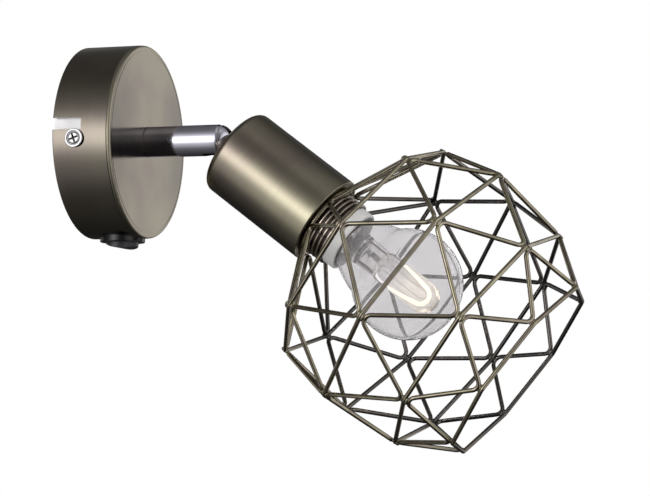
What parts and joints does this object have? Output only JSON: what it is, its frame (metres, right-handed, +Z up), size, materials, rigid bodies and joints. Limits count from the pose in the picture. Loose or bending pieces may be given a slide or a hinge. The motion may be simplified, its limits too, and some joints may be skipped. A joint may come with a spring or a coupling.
{
  "type": "wall spotlight",
  "caption": "Wall spotlight: round canopy with rocker switch, short arm, ball joint, brass lamp sleeve and a faceted wire cage round a golf ball bulb.",
  "frame": {"origin": "centre of the two wall screw slots, on the wall", "axes": "+Z up, -Y out from the wall along the arm, +X to the right seen from the room"},
  "size_m": [0.1158, 0.2069, 0.1667],
  "materials": {
    "antique_brass": "brushed antique brass plate, clear lacquered",
    "brass_wire": "antique brass plated steel wire, welded at its joints",
    "dark_bronze": "dark bronze plated thread",
    "chrome": "polished chrome plate",
    "zinc_steel": "bright zinc plated steel",
    "contact_brass": "plain brass",
    "white_plastic": "white heat resistant plastic",
    "black_plastic": "black nylon, satin",
    "rubber": "black rubber",
    "brown_lead": "brown insulated lead",
    "blue_lead": "blue insulated lead",
    "green_lead": "green and yellow insulated lead",
    "cap_metal": "nickel plated screw cap",
    "black_glass": "black glass insulator",
    "clear_glass": "clear lamp glass",
    "stem_glass": "glass foot",
    "filament": "tungsten coil"
  },
  "bodies": {
    "base": {"canopy": "antique_brass", "wall_bracket": "zinc_steel", "side_screws": "zinc_steel", "terminal_block": "white_plastic", "terminal_sleeves": "contact_brass", "terminal_screws": "zinc_steel", "block_screw": "zinc_steel", "cable_grommet": "rubber", "earth_screw": "zinc_steel", "earth_lead": "green_lead", "live_lead": "brown_lead", "neutral_lead": "blue_lead", "switched_lead": "brown_lead", "switch_housing": "black_plastic", "switch_terminals": "contact_brass"},
    "rocker": {"switch_rocker": "black_plastic"},
    "arm": {"arm_tube": "chrome", "arm_nipple": "zinc_steel", "arm_washer": "zinc_steel", "arm_nut": "zinc_steel", "joint_spring": "zinc_steel", "ball_seat": "contact_brass", "arm_leads": "brown_lead"},
    "head": {"knuckle_ball": "chrome", "stud_washer": "zinc_steel", "stud_nut": "zinc_steel", "lamp_sleeve": "antique_brass", "sleeve_ring": "dark_bronze", "holder_thread": "dark_bronze", "holder_body": "white_plastic", "holder_centre_contact": "contact_brass", "holder_side_contact": "contact_brass", "holder_terminals": "contact_brass", "head_leads": "brown_lead", "cage_base_ring": "brass_wire", "cage_ring_1": "brass_wire", "cage_ring_2": "brass_wire", "cage_ring_3": "brass_wire", "cage_ring_4": "brass_wire", "cage_zigzag_1": "brass_wire", "cage_zigzag_2": "brass_wire", "cage_zigzag_3": "brass_wire", "cage_zigzag_4": "brass_wire", "bulb_cap": "cap_metal", "bulb_insulator": "black_glass", "bulb_contact": "contact_brass", "bulb_glass": "clear_glass", "bulb_stem": "stem_glass", "capsule_glass": "clear_glass", "capsule_filament": "filament", "capsule_wires": "zinc_steel"}
  },
  "joints": [
    {"name": "arm_swivel", "type": "hinge", "parent": "base", "child": "arm", "pos_m": [0, -0.025, 0], "axis": [0, -1, 0], "range_deg": [-165, 165]},
    {"name": "head_tilt", "type": "hinge", "parent": "arm", "child": "head", "pos_m": [0, -0.0575, 0], "axis": [1, 0, 0], "range_deg": [-52, 50]},
    {"name": "switch_rock", "type": "hinge", "parent": "base", "child": "rocker", "pos_m": [0, -0.014, -0.0398], "axis": [1, 0, 0], "range_deg": [-16, 0]}
  ]
}
